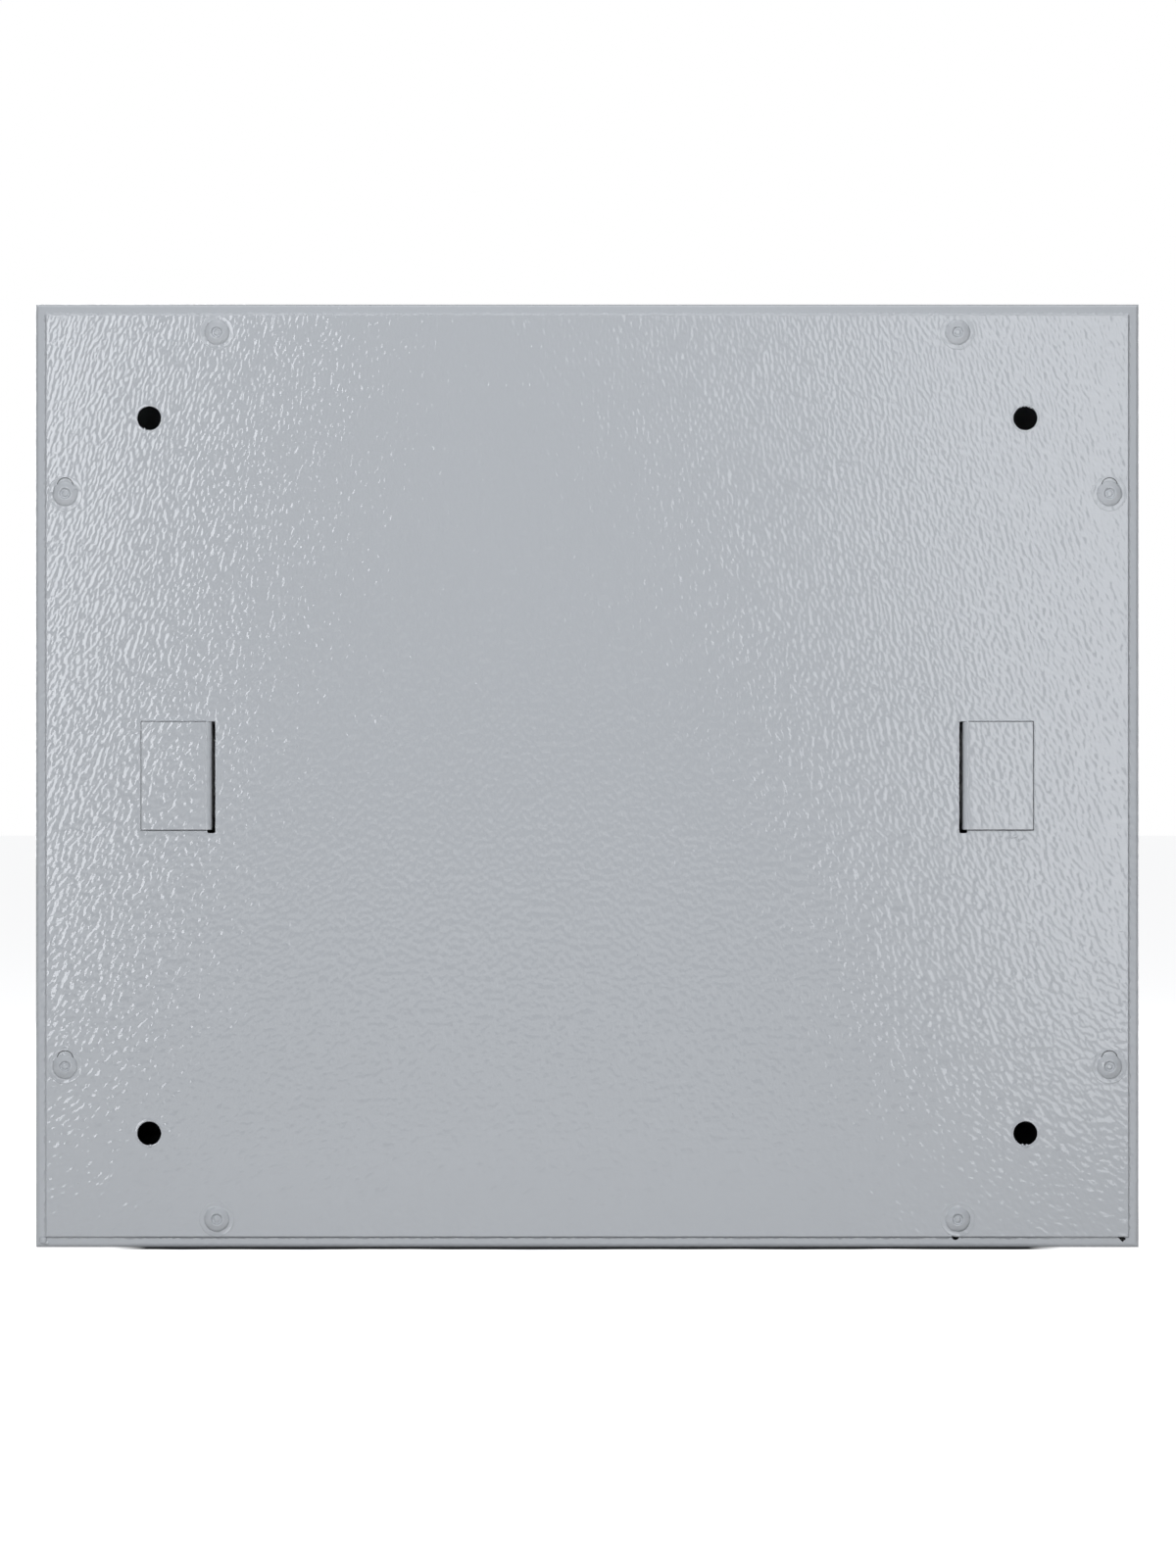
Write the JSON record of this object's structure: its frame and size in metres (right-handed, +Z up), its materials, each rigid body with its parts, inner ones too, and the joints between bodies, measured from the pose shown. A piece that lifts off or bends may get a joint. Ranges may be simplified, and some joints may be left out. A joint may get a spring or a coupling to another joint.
{
  "type": "surface-mounting distribution box",
  "caption": "Folded steel distribution box with a hinged, lockable door, and rail-mounted switches behind a cover.",
  "frame": {"origin": "centre of the four wall holes, on the outer face of the rear plate", "axes": "+Z up as it hangs on the wall, +X to the right of a person facing the door, +Y into the wall"},
  "size_m": [0.31, 0.1228, 0.265],
  "materials": {
    "powder_coat": "glossy light grey powder coat with a fine orange-peel texture",
    "galvanised_steel": "zinc-plated strip",
    "zinc_plate": "bright zinc plate",
    "lock_chrome": "bright nickel",
    "brass": "plain drawn brass",
    "copper": "tinned at the teeth, plain copper strip",
    "blue_plastic": "satin blue",
    "grey_plastic": "matt grey",
    "black_rubber": "matt",
    "white_plastic": "natural white",
    "device_plastic": "light grey, fine spark-eroded grain",
    "red_plastic": "satin red",
    "black_plastic": "satin black"
  },
  "bodies": {
    "enclosure": {"bar_studs": "zinc_plate", "blanking_strip": "device_plastic", "breaker_1_housing": "device_plastic", "breaker_2_housing": "device_plastic", "breaker_3_housing": "device_plastic", "breaker_4_housing": "device_plastic", "breaker_5_housing": "device_plastic", "breaker_6_housing": "device_plastic", "comb_busbar": "copper", "comb_insulation": "grey_plastic", "cover_lugs": "powder_coat", "cover_screws": "zinc_plate", "din_bracket_left": "powder_coat", "din_bracket_right": "powder_coat", "din_rail": "galvanised_steel", "door_bumpers": "black_rubber", "earth_bar": "brass", "earth_bar_screws": "zinc_plate", "earth_bar_supports": "zinc_plate", "earth_stud": "zinc_plate", "end_stops": "grey_plastic", "hinge_pins": "zinc_plate", "hinge_washers": "white_plastic", "inner_cover": "powder_coat", "main_switch_housing": "device_plastic", "neutral_bar": "brass", "neutral_bar_insulators": "blue_plastic", "neutral_bar_screws": "zinc_plate", "rail_screws": "zinc_plate", "rcd_housing": "device_plastic", "rear_plate": "powder_coat", "rear_rivets": "powder_coat", "shell": "powder_coat", "terminal_cages": "zinc_plate", "terminal_screws": "zinc_plate"},
    "door": {"door": "powder_coat", "door_hinge_plates": "powder_coat", "lock_housing": "lock_chrome", "lock_nut": "zinc_plate"},
    "door_lock": {"lock_plug": "lock_chrome", "lock_cam": "zinc_plate", "cam_screw": "zinc_plate"},
    "main_switch_lever": {"main_switch_toggle": "red_plastic"},
    "main_switch_foot": {"main_switch_clip": "white_plastic"},
    "rcd_lever": {"rcd_toggle": "blue_plastic"},
    "rcd_foot": {"rcd_clip": "white_plastic"},
    "breaker_1_lever": {"breaker_1_toggle": "black_plastic"},
    "breaker_1_foot": {"breaker_1_clip": "white_plastic"},
    "breaker_2_lever": {"breaker_2_toggle": "black_plastic"},
    "breaker_2_foot": {"breaker_2_clip": "white_plastic"},
    "breaker_3_lever": {"breaker_3_toggle": "black_plastic"},
    "breaker_3_foot": {"breaker_3_clip": "white_plastic"},
    "breaker_4_lever": {"breaker_4_toggle": "black_plastic"},
    "breaker_4_foot": {"breaker_4_clip": "white_plastic"},
    "breaker_5_lever": {"breaker_5_toggle": "black_plastic"},
    "breaker_5_foot": {"breaker_5_clip": "white_plastic"},
    "breaker_6_lever": {"breaker_6_toggle": "black_plastic"},
    "breaker_6_foot": {"breaker_6_clip": "white_plastic"},
    "rcd_button": {"rcd_test_button": "grey_plastic"}
  },
  "joints": [
    {"name": "door_hinge", "type": "hinge", "parent": "enclosure", "child": "door", "pos_m": [-0.134, -0.114, 0], "axis": [0, 0, -1], "range_deg": [0, 110]},
    {"name": "lock_turn", "type": "hinge", "parent": "door", "child": "door_lock", "pos_m": [0.125, -0.11, 0], "axis": [0, 1, 0], "range_deg": [0, 90]},
    {"name": "main_switch_switching", "type": "hinge", "parent": "enclosure", "child": "main_switch_lever", "pos_m": [0, -0.0975, 0], "axis": [1, 0, 0], "range_deg": [0, 76]},
    {"name": "rcd_switching", "type": "hinge", "parent": "enclosure", "child": "rcd_lever", "pos_m": [0, -0.0975, 0], "axis": [1, 0, 0], "range_deg": [0, 76]},
    {"name": "breaker_1_switching", "type": "hinge", "parent": "enclosure", "child": "breaker_1_lever", "pos_m": [0, -0.0975, 0], "axis": [1, 0, 0], "range_deg": [0, 76]},
    {"name": "breaker_2_switching", "type": "hinge", "parent": "enclosure", "child": "breaker_2_lever", "pos_m": [0, -0.0975, 0], "axis": [1, 0, 0], "range_deg": [0, 76]},
    {"name": "breaker_3_switching", "type": "hinge", "parent": "enclosure", "child": "breaker_3_lever", "pos_m": [0, -0.0975, 0], "axis": [1, 0, 0], "range_deg": [0, 76]},
    {"name": "breaker_4_switching", "type": "hinge", "parent": "enclosure", "child": "breaker_4_lever", "pos_m": [0, -0.0975, 0], "axis": [1, 0, 0], "range_deg": [0, 76]},
    {"name": "breaker_5_switching", "type": "hinge", "parent": "enclosure", "child": "breaker_5_lever", "pos_m": [0, -0.0975, 0], "axis": [1, 0, 0], "range_deg": [0, 76]},
    {"name": "breaker_6_switching", "type": "hinge", "parent": "enclosure", "child": "breaker_6_lever", "pos_m": [0, -0.0975, 0], "axis": [1, 0, 0], "range_deg": [0, 76]},
    {"name": "rcd_test", "type": "slide", "parent": "enclosure", "child": "rcd_button", "axis": [0, 1, 0], "range_m": [0, 0.001], "stiffness_N_per_m": 300, "springref_m": -0.0005},
    {"name": "main_switch_clip_release", "type": "slide", "parent": "enclosure", "child": "main_switch_foot", "axis": [0, 0, -1], "range_m": [0, 0.004], "stiffness_N_per_m": 500, "springref_m": -0.001},
    {"name": "rcd_clip_release", "type": "slide", "parent": "enclosure", "child": "rcd_foot", "axis": [0, 0, -1], "range_m": [0, 0.004], "stiffness_N_per_m": 500, "springref_m": -0.001},
    {"name": "breaker_1_clip_release", "type": "slide", "parent": "enclosure", "child": "breaker_1_foot", "axis": [0, 0, -1], "range_m": [0, 0.004], "stiffness_N_per_m": 500, "springref_m": -0.001},
    {"name": "breaker_2_clip_release", "type": "slide", "parent": "enclosure", "child": "breaker_2_foot", "axis": [0, 0, -1], "range_m": [0, 0.004], "stiffness_N_per_m": 500, "springref_m": -0.001},
    {"name": "breaker_3_clip_release", "type": "slide", "parent": "enclosure", "child": "breaker_3_foot", "axis": [0, 0, -1], "range_m": [0, 0.004], "stiffness_N_per_m": 500, "springref_m": -0.001},
    {"name": "breaker_4_clip_release", "type": "slide", "parent": "enclosure", "child": "breaker_4_foot", "axis": [0, 0, -1], "range_m": [0, 0.004], "stiffness_N_per_m": 500, "springref_m": -0.001},
    {"name": "breaker_5_clip_release", "type": "slide", "parent": "enclosure", "child": "breaker_5_foot", "axis": [0, 0, -1], "range_m": [0, 0.004], "stiffness_N_per_m": 500, "springref_m": -0.001},
    {"name": "breaker_6_clip_release", "type": "slide", "parent": "enclosure", "child": "breaker_6_foot", "axis": [0, 0, -1], "range_m": [0, 0.004], "stiffness_N_per_m": 500, "springref_m": -0.001}
  ]
}
